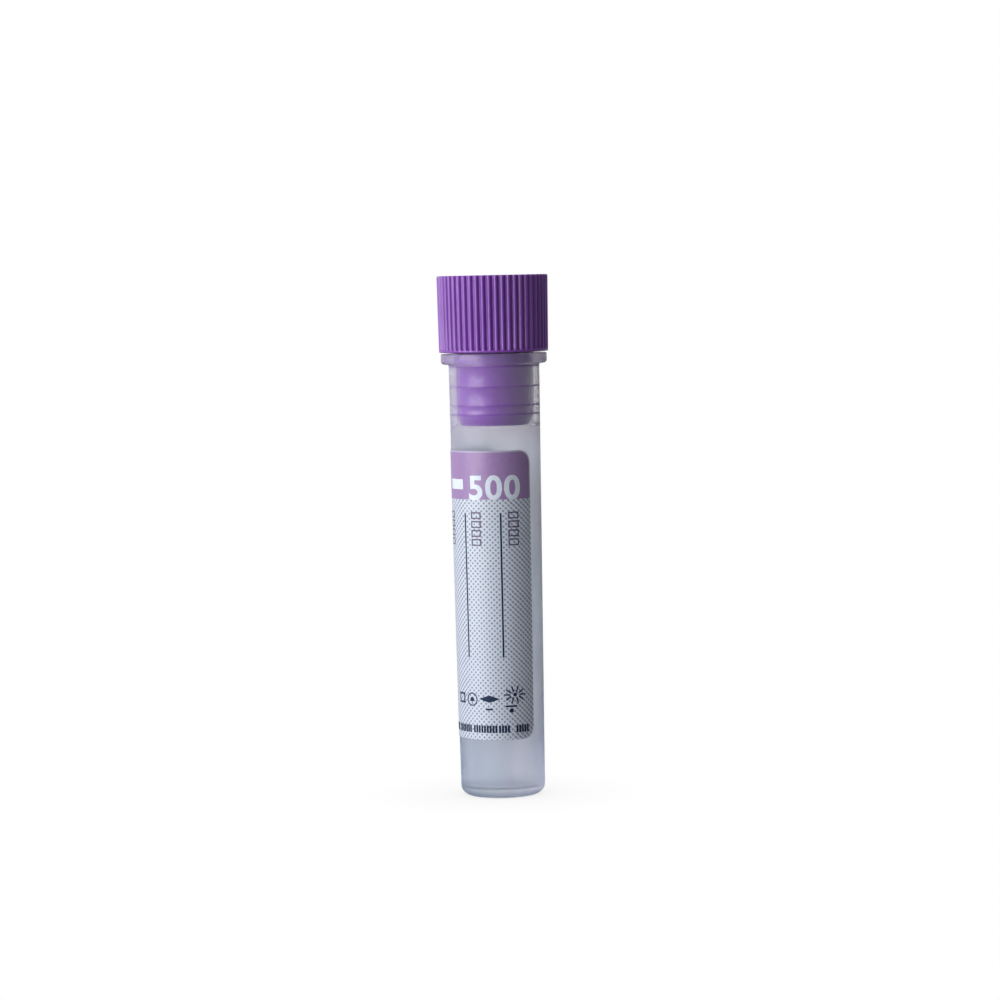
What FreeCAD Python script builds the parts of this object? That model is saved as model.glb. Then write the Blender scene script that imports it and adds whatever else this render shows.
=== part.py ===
import FreeCAD, Part
import math
import os

# A small flat-bottomed blood collection tube with its push-in stopper and its
# printed label. The tube stands upright on z = 0 and its axis is the Z axis.
# The front faces -Y. Millimetres and degrees.

# ---------------------------------------------------------------- tube
TUBE_LENGTH = 59.8              # from the base to the rim
TUBE_BASE_DIAMETER = 11.36      # outside, where the wall would meet the base
TUBE_DRAFT = 0.44               # each side of the wall leans out by this much
WALL_THICKNESS = 0.78
BASE_THICKNESS = 1.2
BASE_OUTER_CORNER = 1.38        # radius under the foot of the wall
BASE_INNER_CORNER = 1.1
BASE_DISH_DIAMETER = 5.0        # shallow hollow that leaves a ring to stand on
BASE_DISH_DEPTH = 0.25
FLANGE_DIAMETER = 14.3
FLANGE_THICKNESS = 1.4
FLANGE_LOWER_CORNER = 0.45
FLANGE_UPPER_CORNER = 0.15
FLANGE_ROOT_FILLET = 0.25
MOUTH_DIAMETER = 10.9           # short counterbore at the rim
MOUTH_DEPTH = 0.95
MOUTH_CONE_DEPTH = 1.5          # where its cone reaches the bore
MOUTH_CORNER = 0.12

# ---------------------------------------------------------------- stopper
SEAT_GAP = 0.2                  # left between the rim and the grip when the plug is home
GRIP_HEIGHT = 10.3              # the ribbed band above the seat gap
GRIP_OVERHANG = 0.21            # radial, past the tube's flange at the grip's lower edge
GRIP_FLARE = 0.125              # radial, how much wider the grip is at its top
GRIP_TOP_CORNER = 0.25
GRIP_BOTTOM_CORNER = 0.15
RIB_COUNT = 52
RIB_HEIGHT = 0.34
RIB_SHARE = 0.55                # part of the pitch that the ridge takes
RIB_CREST_LAND = 0.01           # height of the crest that the band's face trims flat
RIB_TOE = 0.28                  # smooth ring below the grooves
PLUG_DEPTH = 9.66               # how far the plug reaches down from the rim
SHOULDER_CLEARANCE = 0.05       # radial, inside the mouth and its cone
SHOULDER_ROOT_FILLET = 0.1      # where the shoulder meets the grip
SHOULDER_LOWER_CORNER = 0.2
RING_CLEARANCE = 0.03           # radial, between a sealing ring and the bore
RING_DEPTHS = (1.7, 4.37, 6.91, 8.08)   # sealing rings, down from the rim
RING_HEIGHT = 0.5
RING_LAND = 0.12
RING_RELIEF = 0.05              # how much smaller the plug is between the rings
PLUG_END_DIAMETER = 9.15
PLUG_END_CORNER = 0.15
RECESS_WALL = 1.5               # grip wall round the recess
RECESS_FLOOR = 1.7              # web between the recess's wide part and the grip's underside
RECESS_CORNER = 0.6
PLUG_WALL = 1.25
PLUG_FLOOR = 1.3

# ---------------------------------------------------------------- label
LABEL_HEIGHT = 38.85
LABEL_WIDTH = 23.5              # along the wall
LABEL_THICKNESS = 0.07
LABEL_BOTTOM = 8.06             # height of its lower edge above the base
LABEL_RIGHT_EDGE = 47.0         # degrees round from the front
LABEL_CORNER = 1.75
GLUE_GAP = 0.02                 # adhesive between the label and the wall
INK_GAP = 0.04                  # between the label and its raised print
INK_THICKNESS = 0.02
HEADER_HEIGHT = 6.48            # coloured band, down from the label's top edge
HEADER_MARGIN = 0.22            # white border left round the band
WRITING_LINE_WIDTH = 0.21
WRITING_LINE_TOP = 8.33         # down from the label's top edge
WRITING_LINE_LENGTH = 19.4
WRITING_LINE_FROM_EDGE = 4.4    # from the label's right edge to the first line
WRITING_LINE_PITCH = 5.05
WRITING_LINE_COUNT = 3

# ---------------------------------------------------------------- derived
RIM = TUBE_LENGTH
GRIP_FOOT = RIM + SEAT_GAP
GRIP_TOP = GRIP_FOOT + GRIP_HEIGHT
CUT_MARGIN = 1                  # how far a cutter runs past what it cuts
AXIS_START = FreeCAD.Vector(0, 0, 0)
UP = FreeCAD.Vector(0, 0, 1)


def wall_radius(z):
    """Outside radius of the tube's wall at height z."""
    return TUBE_BASE_DIAMETER / 2 + z * math.tan(math.radians(TUBE_DRAFT))


def bore_radius(z):
    """Inside radius of the tube's wall at height z."""
    return wall_radius(z) - WALL_THICKNESS


def grip_radius(z):
    """Radius over the ribs at height z."""
    share = (z - GRIP_FOOT) / GRIP_HEIGHT
    return FLANGE_DIAMETER / 2 + GRIP_OVERHANG + share * GRIP_FLARE


def ring_radius(depth):
    """Radius of a sealing ring that lies depth below the rim."""
    return bore_radius(RIM - depth) - RING_CLEARANCE


def plug_radius(depth):
    """Radius of the plug between its rings."""
    return ring_radius(depth) - RING_RELIEF


# ---------------------------------------------------------------- shape helpers
def corner_points(before, corner, after, radius):
    """Start, middle and end of the arc that rounds one corner of an outline."""
    to_before = (before - corner).normalize()
    to_after = (after - corner).normalize()
    half = to_before.getAngle(to_after) / 2
    setback = radius / math.tan(half)
    bisector = (to_before + to_after).normalize()
    centre = corner + bisector * (radius / math.sin(half))
    return corner + to_before * setback, centre - bisector * radius, corner + to_after * setback


def half_section(outline):
    """Closed wire in the XZ plane from (radius, height) or (radius, height, corner) points."""
    points = [FreeCAD.Vector(entry[0], 0, entry[1]) for entry in outline]
    edges = []
    pen = None
    first = None
    for index, entry in enumerate(outline):
        corner = points[index]
        if len(entry) == 3:
            after = points[(index + 1) % len(points)]
            start, middle, end = corner_points(points[index - 1], corner, after, entry[2])
        else:
            start = end = corner
        if pen is None:
            first = start
        else:
            edges.append(Part.LineSegment(pen, start).toShape())
        if len(entry) == 3:
            edges.append(Part.Arc(start, middle, end).toShape())
        pen = end
    edges.append(Part.LineSegment(pen, first).toShape())
    return Part.Wire(edges)


def turned(outline):
    """Solid turned about the Z axis from a half section."""
    return Part.Face(half_section(outline)).revolve(AXIS_START, UP, 360)


def polar(radius, angle, z):
    """Point at an angle round from the front, positive towards +X."""
    turn = math.radians(angle)
    return FreeCAD.Vector(radius * math.sin(turn), -radius * math.cos(turn), z)


def corner_cutter(angle, height, side, rise, radius, lift):
    """Prism that rounds a wrapped patch's corner at this angle and height.

    side is 1 at a right edge and -1 at a left one, rise is 1 at a top edge and -1 at a
    bottom one. The arc is a circle on the flattened patch.
    """
    surface = wall_radius(height) + lift
    turn_to_centre = math.degrees(radius / surface)

    def flat(along, up):
        across = side * surface * math.sin(along / surface)
        return FreeCAD.Vector(across, 0, rise * up)

    diagonal = radius / math.sqrt(2)
    arc = Part.Arc(flat(radius, 0), flat(diagonal, diagonal), flat(0, radius)).toShape()
    outer = FreeCAD.Vector(side * (radius + CUT_MARGIN), 0, rise * (radius + CUT_MARGIN))
    rest = Part.makePolygon([
        flat(0, radius),
        FreeCAD.Vector(0, 0, outer.z),
        outer,
        FreeCAD.Vector(outer.x, 0, 0),
        flat(radius, 0),
    ])
    face = Part.Face(Part.Wire([arc] + rest.Edges))
    prism = face.extrude(FreeCAD.Vector(0, -2 * surface, 0))
    prism.translate(FreeCAD.Vector(0, 0, height - rise * radius))
    prism.rotate(AXIS_START, UP, angle - side * turn_to_centre)
    return prism


def wrapped_patch(bottom, top, left, right, lift, thickness, corner=0, square_foot=False):
    """Thin solid that lies round the tube's wall, lift above it.

    corner rounds its corners, or only the upper two where square_foot is set.
    """
    low, high = wall_radius(bottom) + lift, wall_radius(top) + lift
    strip = Part.makePolygon([
        polar(low, left, bottom),
        polar(low + thickness, left, bottom),
        polar(high + thickness, left, top),
        polar(high, left, top),
        polar(low, left, bottom),
    ])
    patch = Part.Face(strip).revolve(AXIS_START, UP, right - left)
    if corner:
        heights = [(top, 1)] if square_foot else [(top, 1), (bottom, -1)]
        cutters = [
            corner_cutter(angle, height, side, rise, corner, lift)
            for height, rise in heights
            for angle, side in ((left, -1), (right, 1))
        ]
        patch = patch.cut(cutters)
    return patch


def degrees_along_wall(distance, z):
    """Angle that a distance along the wall takes at height z."""
    return math.degrees(distance / wall_radius(z))


# ---------------------------------------------------------------- pieces
def make_tube():
    flange_underside = RIM - FLANGE_THICKNESS
    dish = BASE_DISH_DIAMETER / 2
    return turned([
        (0, BASE_DISH_DEPTH),
        (dish - BASE_DISH_DEPTH, BASE_DISH_DEPTH),
        (dish, 0),
        (wall_radius(0), 0, BASE_OUTER_CORNER),
        (wall_radius(flange_underside), flange_underside, FLANGE_ROOT_FILLET),
        (FLANGE_DIAMETER / 2, flange_underside, FLANGE_LOWER_CORNER),
        (FLANGE_DIAMETER / 2, RIM, FLANGE_UPPER_CORNER),
        (MOUTH_DIAMETER / 2, RIM, MOUTH_CORNER),
        (MOUTH_DIAMETER / 2, RIM - MOUTH_DEPTH),
        (bore_radius(RIM - MOUTH_CONE_DEPTH), RIM - MOUTH_CONE_DEPTH),
        (bore_radius(BASE_THICKNESS), BASE_THICKNESS, BASE_INNER_CORNER),
        (0, BASE_THICKNESS),
    ])


def plug_outline():
    """Outside of the plug, from its shoulder under the grip down to its end."""
    shoulder = MOUTH_DIAMETER / 2 - SHOULDER_CLEARANCE
    cone_end = RIM - MOUTH_CONE_DEPTH
    outline = [
        (shoulder, GRIP_FOOT, SHOULDER_ROOT_FILLET),
        (shoulder, RIM - MOUTH_DEPTH, SHOULDER_LOWER_CORNER),
        (bore_radius(cone_end) - SHOULDER_CLEARANCE, cone_end),
    ]
    half_ring, half_land = RING_HEIGHT / 2, RING_LAND / 2
    for number, depth in enumerate(RING_DEPTHS):
        crest = ring_radius(depth)
        if number > 0:
            outline.append((plug_radius(depth - half_ring), RIM - depth + half_ring))
        outline.append((crest, RIM - depth + half_land))
        outline.append((crest, RIM - depth - half_land))
        if number < len(RING_DEPTHS) - 1:
            outline.append((plug_radius(depth + half_ring), RIM - depth - half_ring))
    outline.append((PLUG_END_DIAMETER / 2, RIM - PLUG_DEPTH, PLUG_END_CORNER))
    return outline


def recess_outline():
    """Inside of the stopper, from the middle of the plug's floor up to the top face."""
    plug_floor = RIM - PLUG_DEPTH + PLUG_FLOOR
    web = GRIP_FOOT + RECESS_FLOOR
    narrow = plug_radius(PLUG_DEPTH) - PLUG_WALL
    return [
        (0, plug_floor),
        (narrow, plug_floor, RECESS_CORNER),
        (plug_radius(0) - PLUG_WALL, web, RECESS_CORNER / 2),
        (grip_radius(web) - RIB_HEIGHT - RECESS_WALL, web, RECESS_CORNER),
        (grip_radius(GRIP_TOP) - RIB_HEIGHT - RECESS_WALL, GRIP_TOP, GRIP_TOP_CORNER),
    ]


def ribbed_outline(z):
    """Closed outline of the grip's ridges and grooves at height z."""
    crest = grip_radius(z) + RIB_CREST_LAND
    root = grip_radius(z) - RIB_HEIGHT
    flank = (crest + root) / 2
    pitch = 360 / RIB_COUNT
    half_ridge = pitch * RIB_SHARE / 2
    edges = []
    for number in range(RIB_COUNT):
        groove = number * pitch
        ridge = groove - pitch / 2
        start = polar(flank, ridge - half_ridge, z)
        turn = polar(flank, ridge + half_ridge, z)
        end = polar(flank, ridge + pitch - half_ridge, z)
        edges.append(Part.Arc(start, polar(crest, ridge, z), turn).toShape())
        edges.append(Part.Arc(turn, polar(root, groove, z), end).toShape())
    return Part.Wire(edges)


def make_grooves():
    """The grip's grooves as one cutter, open at the top and closed above the toe."""
    floor = GRIP_FOOT + RIB_TOE
    roof = GRIP_TOP + CUT_MARGIN
    ridges = Part.makeLoft([ribbed_outline(floor), ribbed_outline(roof)], True, True)
    sleeve_radius = grip_radius(roof) + CUT_MARGIN
    sleeve = Part.makeCylinder(sleeve_radius, roof - floor, FreeCAD.Vector(0, 0, floor))
    return sleeve.cut(ridges)


def make_stopper():
    blank = turned(
        recess_outline()
        + [
            (grip_radius(GRIP_TOP), GRIP_TOP, GRIP_TOP_CORNER),
            (grip_radius(GRIP_FOOT), GRIP_FOOT, GRIP_BOTTOM_CORNER),
        ]
        + plug_outline()
        + [(0, RIM - PLUG_DEPTH)]
    )
    return blank.cut(make_grooves())


def label_span():
    """Bottom, top, left angle and right angle of the label."""
    middle = LABEL_BOTTOM + LABEL_HEIGHT / 2
    left = LABEL_RIGHT_EDGE - degrees_along_wall(LABEL_WIDTH, middle)
    return LABEL_BOTTOM, LABEL_BOTTOM + LABEL_HEIGHT, left, LABEL_RIGHT_EDGE


def make_label():
    return wrapped_patch(*label_span(), GLUE_GAP, LABEL_THICKNESS, LABEL_CORNER)


def ink_lift():
    return GLUE_GAP + LABEL_THICKNESS + INK_GAP


def make_header_print():
    _, label_top, left, right = label_span()
    top = label_top - HEADER_MARGIN
    bottom = label_top - HEADER_HEIGHT
    margin = degrees_along_wall(HEADER_MARGIN, top)
    left, right = left + margin, right - margin
    return wrapped_patch(bottom, top, left, right, ink_lift(), INK_THICKNESS,
                         LABEL_CORNER - HEADER_MARGIN, square_foot=True)


def make_writing_lines():
    _, label_top, _, right = label_span()
    top = label_top - WRITING_LINE_TOP
    bottom = top - WRITING_LINE_LENGTH
    half_width = degrees_along_wall(WRITING_LINE_WIDTH, bottom) / 2
    lines = []
    for number in range(WRITING_LINE_COUNT):
        along = WRITING_LINE_FROM_EDGE + number * WRITING_LINE_PITCH
        middle = right - degrees_along_wall(along, bottom)
        lines.append(wrapped_patch(
            bottom, top, middle - half_width, middle + half_width, ink_lift(), INK_THICKNESS))
    return Part.makeCompound(lines)


PIECES = {
    "tube": make_tube,
    "stopper": make_stopper,
    "label": make_label,
    "label_header": make_header_print,
    "label_writing_lines": make_writing_lines,
}

os.makedirs("parts", exist_ok=True)
for name, make in PIECES.items():
    shape = make()
    shape.exportStep(f"parts/{name}.step")
    box = shape.optimalBoundingBox()
    print(f"{name}: {len(shape.Solids)} solid(s), valid {shape.isValid()}, {shape.Volume:.2f} mm3, "
          f"x {box.XMin:.2f}..{box.XMax:.2f}, y {box.YMin:.2f}..{box.YMax:.2f}, "
          f"z {box.ZMin:.2f}..{box.ZMax:.2f}")
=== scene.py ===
"""A small flat-bottomed blood collection tube with its ribbed stopper and its wrap-round label."""
import math

import bmesh
import bpy
from bpy.props import FloatProperty, FloatVectorProperty, IntProperty, PointerProperty
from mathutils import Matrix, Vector


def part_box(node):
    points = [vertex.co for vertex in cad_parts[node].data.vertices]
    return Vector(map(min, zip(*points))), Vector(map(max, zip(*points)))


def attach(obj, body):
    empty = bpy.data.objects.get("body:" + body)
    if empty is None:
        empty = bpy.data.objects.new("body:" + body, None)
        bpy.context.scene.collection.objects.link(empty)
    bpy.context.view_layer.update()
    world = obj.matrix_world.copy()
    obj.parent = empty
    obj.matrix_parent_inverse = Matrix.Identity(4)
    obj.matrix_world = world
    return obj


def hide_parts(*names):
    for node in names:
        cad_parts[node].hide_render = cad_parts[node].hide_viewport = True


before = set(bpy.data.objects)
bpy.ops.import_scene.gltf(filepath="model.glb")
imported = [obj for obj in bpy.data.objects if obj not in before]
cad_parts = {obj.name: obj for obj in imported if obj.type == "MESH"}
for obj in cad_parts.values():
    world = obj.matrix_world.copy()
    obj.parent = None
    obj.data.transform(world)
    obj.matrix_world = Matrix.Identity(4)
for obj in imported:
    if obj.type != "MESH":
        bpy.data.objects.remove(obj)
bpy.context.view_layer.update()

bl_info = {
    "name": "Blood collection tube",
    "version": (1, 0, 0),
    "blender": (4, 5, 0),
    "location": "View3D > Sidebar > Tube",
    "description": "Models a flat-bottomed sample tube, its ribbed stopper and its printed label",
    "category": "Add Mesh",
}

MM = 0.001
TUBE_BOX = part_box("tube")
STOPPER_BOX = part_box("stopper")
LABEL_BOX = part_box("label")
HEADER_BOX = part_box("label_header")
LINES_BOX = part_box("label_writing_lines")
RIM = TUBE_BOX[1].z
BACKDROP = (-0.7, 0.714, 0.0)       # where the bright backdrop stands, seen from the tube
LABEL_MIDDLE = (LABEL_BOX[0].z + LABEL_BOX[1].z) / 2


# ---------------------------------------------------------------- settings
def length(name, description, millimetres):
    """A length property, given in millimetres."""
    return FloatProperty(name=name, description=description, default=millimetres * MM,
                         min=0, precision=5, unit="LENGTH")


def colour(name, description, red, green, blue):
    """A colour property, in linear light."""
    return FloatVectorProperty(name=name, description=description, default=(red, green, blue),
                               min=0, max=1, size=3, subtype="COLOR")


class TubeSettings(bpy.types.PropertyGroup):
    base_diameter: length("Base diameter", "Outside, where the wall would meet the base", 11.36)
    draft: FloatProperty(name="Draft", description="How far each side of the wall leans out",
                         default=math.radians(0.44), subtype="ANGLE")
    wall: length("Wall", "Thickness of the wall", 0.78)
    floor: length("Floor", "Thickness of the base", 1.2)
    outer_corner: length("Outer corner", "Radius under the foot of the wall", 1.38)
    inner_corner: length("Inner corner", "Radius inside the foot of the wall", 1.1)
    dish_diameter: length("Dish diameter", "Shallow hollow under the base", 5.0)
    dish_depth: length("Dish depth", "Depth of the hollow under the base", 0.25)
    flange_thickness: length("Flange thickness", "Height of the flange at the mouth", 1.4)
    mouth_diameter: length("Mouth diameter", "Counterbore at the rim", 10.9)
    mouth_depth: length("Mouth depth", "Depth of the counterbore", 0.95)
    cone_depth: length("Cone depth", "Where the mouth's cone reaches the bore", 1.5)
    tint: colour("Tint", "Colour that the plastic lets through", 0.42, 0.44, 0.50)
    depth: FloatProperty(name="Depth of tint", description="How strongly each metre of plastic absorbs",
                         default=60, min=0)
    film_tint: colour("Film tint", "Colour of the dried film on the wall", 0.45, 0.55, 0.70)
    # Painted light: the neck and flange tints carry a lilac that stands for the stopper's colour scattered
    # in the clear plastic, and it stays when the stopper is out.
    neck_tint_and_stopper_light: colour("Neck tint", "Colour of the milky wall beside the plug", 0.54, 0.50, 0.66)
    flange_tint_and_stopper_light: colour("Flange tint", "Colour of the milky flange", 0.50, 0.40, 0.67)
    haze: FloatProperty(name="Haze", description="Milkiness of the wall beside the plug, seen edge on",
                        default=4.8, min=0)


class StopperSettings(bpy.types.PropertyGroup):
    ribs: IntProperty(name="Ribs", description="Ridges round the grip", default=52, min=8)
    rib_height: length("Rib height", "How far a ridge stands over its groove", 0.34)
    rib_share: FloatProperty(name="Rib share", description="Part of the pitch that the ridge takes",
                             default=0.55, min=0.2, max=0.8, subtype="FACTOR")
    toe: length("Toe", "Smooth ring below the grooves", 0.28)
    seat_gap: length("Seat gap", "Left between the rim and the grip", 0.2)
    overhang: length("Overhang", "How far the grip's foot stands past the flange", 0.21)
    flare: length("Flare", "How much wider the grip is at its top", 0.125)
    ring_fit: length("Ring fit", "How far a sealing ring is pressed into the bore", 0.01)
    ring_width: length("Ring width", "Foot of a sealing ring", 0.5)
    ring_land: length("Ring land", "Crest of a sealing ring", 0.16)
    relief: length("Relief", "How far the plug stands back between its rings", 0.07)
    plug_end_diameter: length("Plug end diameter", "Flat end of the plug", 9.15)
    tint: colour("Tint", "Colour of the plastic", 0.24, 0.056, 0.465)
    # Painted shade: a darker copy of the tint for the plug inside the bore, for the light that the wall
    # takes from it.
    plug_shade_tint: colour("Plug shade tint", "Painted shade on the plug inside the bore", 0.16, 0.022, 0.345)
    # Painted shade: the dark colour laid into the grooves and into the seam under the grip.
    crevice_shade: colour("Crevice", "Colour deep in a groove", 0.036, 0.0, 0.09)


class LabelSettings(bpy.types.PropertyGroup):
    width: length("Width", "Along the wall", 23.5)
    corner: length("Corner", "Radius of the label's corners", 1.75)
    thickness: length("Thickness", "From the wall to the face of the label", 0.09)
    ink: length("Ink", "Height of the printed ink", 0.012)
    right_edge: FloatProperty(name="Right edge", description="Round from the front",
                              default=math.radians(47), subtype="ANGLE")
    line_from_edge: length("First line", "From the label's right edge to the first writing line", 4.4)
    line_pitch: length("Line pitch", "Between the writing lines", 5.05)
    line_width: length("Line width", "Of a writing line", 0.23)
    stroke: length("Stroke", "Of the small marks", 0.24)
    dot_pitch: length("Dot pitch", "Between the background dots in a row", 0.72)
    dot_row: length("Dot row", "Between rows of background dots", 0.35)
    dot_size: length("Dot size", "Diameter of a background dot", 0.28)
    hatch_right: FloatVectorProperty(name="Hatch on the right", size=2, default=(0.49, 0.54),
                                     description="Where falling lines join the dots, in label heights")
    hatch_left: FloatVectorProperty(name="Hatch on the left", size=2, default=(0.33, 0.38),
                                    description="Where rising lines join the dots, in label heights")
    paper: colour("Paper", "Face of the label", 0.75, 0.83, 0.95)
    backing: colour("Backing", "Light that comes through the label", 0.84, 0.86, 0.91)
    dot_ink: colour("Dot ink", "Background dots and entry marks", 0.14, 0.105, 0.20)
    header_ink: colour("Header ink", "Coloured band", 0.34, 0.21, 0.46)
    line_ink: colour("Line ink", "Writing lines and dark marks", 0.014, 0.030, 0.075)


class StageSettings(bpy.types.PropertyGroup):
    distance: length("Camera distance", "From the tube's axis", 450.4)
    height: length("Camera height", "Above the floor", 70.26)
    lens: FloatProperty(name="Lens", description="Focal length in millimetres", default=120.2)
    pitch: FloatProperty(name="Pitch", description="How far the camera looks down",
                         default=math.radians(3.852), subtype="ANGLE")
    roll: FloatProperty(name="Roll", description="How far the picture leans",
                        default=math.radians(1.27), subtype="ANGLE")
    pan: FloatProperty(name="Pan", description="How far the camera looks past the axis",
                       default=math.radians(0.053), subtype="ANGLE")
    key_power: FloatProperty(name="Key light", description="Power of the large lamp", default=4.0)
    key_azimuth: FloatProperty(name="Lamp azimuth", description="Round from the front, to the right",
                               default=math.radians(-55), subtype="ANGLE")
    key_elevation: FloatProperty(name="Lamp elevation", description="Seen from the label's middle",
                                 default=math.radians(14), subtype="ANGLE")
    key_distance: length("Lamp distance", "From the label's middle", 600)
    key_size: length("Lamp size", "Side of the square lamp", 500)
    room: FloatProperty(name="Room light", description="Mean strength of the light from all round",
                        default=0.55, min=0)
    lean: FloatProperty(name="Lean", description="How much of the room's light comes from the backdrop",
                        default=0.92, min=0, max=1, subtype="FACTOR")


SETTINGS = {
    "tube_sizes": TubeSettings,
    "stopper_sizes": StopperSettings,
    "label_sizes": LabelSettings,
    "stage_sizes": StageSettings,
}


# ---------------------------------------------------------------- shader maths
class Value:
    """A socket of a shader. Arithmetic on it adds Math nodes."""

    def __init__(self, shader, socket):
        self.shader = shader
        self.socket = socket

    def math(self, operation, *others):
        sockets = dict(enumerate((self,) + others))
        return self.shader.add("ShaderNodeMath", {"operation": operation}, sockets)[0]

    def __add__(self, other):
        return self.math("ADD", other)

    def __sub__(self, other):
        return self.math("SUBTRACT", other)

    def __rsub__(self, other):
        return self.math("MULTIPLY_ADD", -1, other)

    def __mul__(self, other):
        return self.math("MULTIPLY", other)

    def __truediv__(self, other):
        return self.math("DIVIDE", other)

    __radd__ = __add__
    __rmul__ = __mul__

    def ramp(self, low, high, start=0, end=1):
        """start below low, end above high and a smooth step in between."""
        node = self.shader.add(
            "ShaderNodeMapRange", {"interpolation_type": "SMOOTHSTEP"},
            {"Value": self, "From Min": low, "From Max": high, "To Min": start, "To Max": end})
        return node[0]


class Shader:
    """A new material or world whose nodes are added one call at a time."""

    def __init__(self, owner):
        self.owner = owner
        owner.use_nodes = True
        self.tree = owner.node_tree
        self.tree.nodes.clear()

    def add(self, kind, settings=(), sockets=()):
        """Adds a node: its own settings first, then the values or links of its sockets."""
        node = self.tree.nodes.new(kind)
        for key, setting in dict(settings).items():
            setattr(node, key, setting)
        for key, given in dict(sockets).items():
            if isinstance(given, Value):
                self.tree.links.new(given.socket, node.inputs[key])
            elif given is not None:
                node.inputs[key].default_value = given
        return [Value(self, output) for output in node.outputs]

    def place(self):
        """Object coordinates."""
        return self.add("ShaderNodeTexCoord")[3]

    def stretched(self, x, y, z):
        """Object coordinates, scaled apart along each axis."""
        return self.add("ShaderNodeMapping", {}, {"Vector": self.place(), "Scale": (x, y, z)})[0]

    def along(self, vector, direction):
        """How far a vector reaches along a direction."""
        return self.add("ShaderNodeVectorMath", {"operation": "DOT_PRODUCT"}, {0: vector, 1: direction})[1]

    def noise(self, vector, scale, detail=2):
        return self.add("ShaderNodeTexNoise", {},
                        {"Vector": vector, "Scale": scale, "Detail": detail})[0]

    def mix_colour(self, factor, first, second, blend="MIX"):
        node = self.add("ShaderNodeMix", {"data_type": "RGBA", "blend_type": blend},
                        {0: factor, 6: first, 7: second})
        return node[2]

    def mix_shaders(self, factor, first, second):
        return self.add("ShaderNodeMixShader", {}, {0: factor, 1: first, 2: second})[0]

    def bump(self, height, distance, strength=1.0):
        return self.add("ShaderNodeBump", {},
                        {"Height": height, "Distance": distance, "Strength": strength})[0]

    def finish(self, surface, volume=None):
        kind = "ShaderNodeOutputWorld" if isinstance(self.owner, bpy.types.World) \
            else "ShaderNodeOutputMaterial"
        self.add(kind, {}, {"Surface": surface, "Volume": volume})
        return self.owner


def opaque(rgb):
    return (*rgb, 1.0)


def tube_plastic(tube):
    """Clear plastic, lightly tinted in its depth.

    A thin dried film clouds the wall below the plug. The flange and the wall beside the plug are
    milky where they are seen edge on, and carry a painted lilac light that stands for the stopper's
    colour scattered in the plastic."""
    shader = Shader(bpy.data.materials.new("tube_plastic"))
    flow = shader.noise(shader.stretched(1, 1, 0.12), 420)
    grain = shader.noise(shader.place(), 2600)
    height = shader.add("ShaderNodeSeparateXYZ", {}, {0: shader.place()})[2]
    plug_end, flange_foot = STOPPER_BOX[0].z, RIM - tube.flange_thickness
    label_foot, label_head = LABEL_BOX[0].z, LABEL_BOX[1].z
    at_flange = height.ramp(flange_foot - 0.3 * MM, flange_foot)

    def up_the_wall(below, beside):
        """Changes at the end of the plug, where the film stops."""
        return height.ramp(plug_end - 0.3 * MM, plug_end + 0.6 * MM, below, beside)

    clear = shader.add("ShaderNodeBsdfPrincipled", {}, {
        "Base Color": (0.98, 0.98, 0.98, 1.0),
        "Roughness": up_the_wall(0.28, 0.08) + at_flange * 0.12,
        "Transmission Weight": 1.0,
        "IOR": 1.49,
        "Normal": shader.bump(grain, 0.000004),
    })[0]
    # Painted light: random patches spread the lilac of the painted stopper light down the wall.
    stopper_light_patches = shader.noise(shader.stretched(1, 1, 0.4), 150).ramp(0.5, 0.62, 0, 0.5)
    stopper_light_share = height.ramp(label_head - 4 * MM, plug_end + 2 * MM).math("MAXIMUM", stopper_light_patches)
    sent_back = height.ramp(label_foot, label_head, 0.15, 0.5)

    def milky(tint):
        """Cloudy plastic of one colour, which lets light through and sends some of it back."""
        through = shader.add("ShaderNodeBsdfTranslucent", {}, {"Color": opaque(tint)})[0]
        back = shader.add("ShaderNodeBsdfDiffuse", {}, {"Color": opaque(tint)})[0]
        return shader.mix_shaders(sent_back, through, back)

    wall_film = shader.mix_shaders(stopper_light_share, milky(tube.film_tint), milky(tube.neck_tint_and_stopper_light))
    film = shader.mix_shaders(at_flange, wall_film, milky(tube.flange_tint_and_stopper_light))
    facing = shader.add("ShaderNodeLayerWeight", {}, {"Blend": 0.5})[1]
    upright = shader.add("ShaderNodeSeparateXYZ", {}, {0: shader.add("ShaderNodeNewGeometry")[1]})[2]
    most = 0.5 - at_flange * 0.25
    edge_on = (facing * facing * facing * up_the_wall(0.3, tube.haze)).math("MINIMUM", most)
    haze = edge_on * (1 - upright.math("ABSOLUTE"))
    film_cover = up_the_wall(height.ramp(label_foot - MM, label_foot + MM, 0.27, 0.225), 0.02)
    cover = film_cover + flow.ramp(0.42, 0.62, 0, 0.06) + at_flange * 0.2 + haze
    body = shader.mix_shaders(cover, clear, film)
    passing = shader.add("ShaderNodeBsdfTransparent", {}, {"Color": (0.88, 0.88, 0.88, 1.0)})[0]
    shadow = shader.add("ShaderNodeLightPath")[1]
    depth = shader.add("ShaderNodeVolumeAbsorption", {}, {
        "Color": opaque(tube.tint), "Density": tube.depth})[0]
    return shader.finish(shader.mix_shaders(shadow, body, passing), depth)


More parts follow.
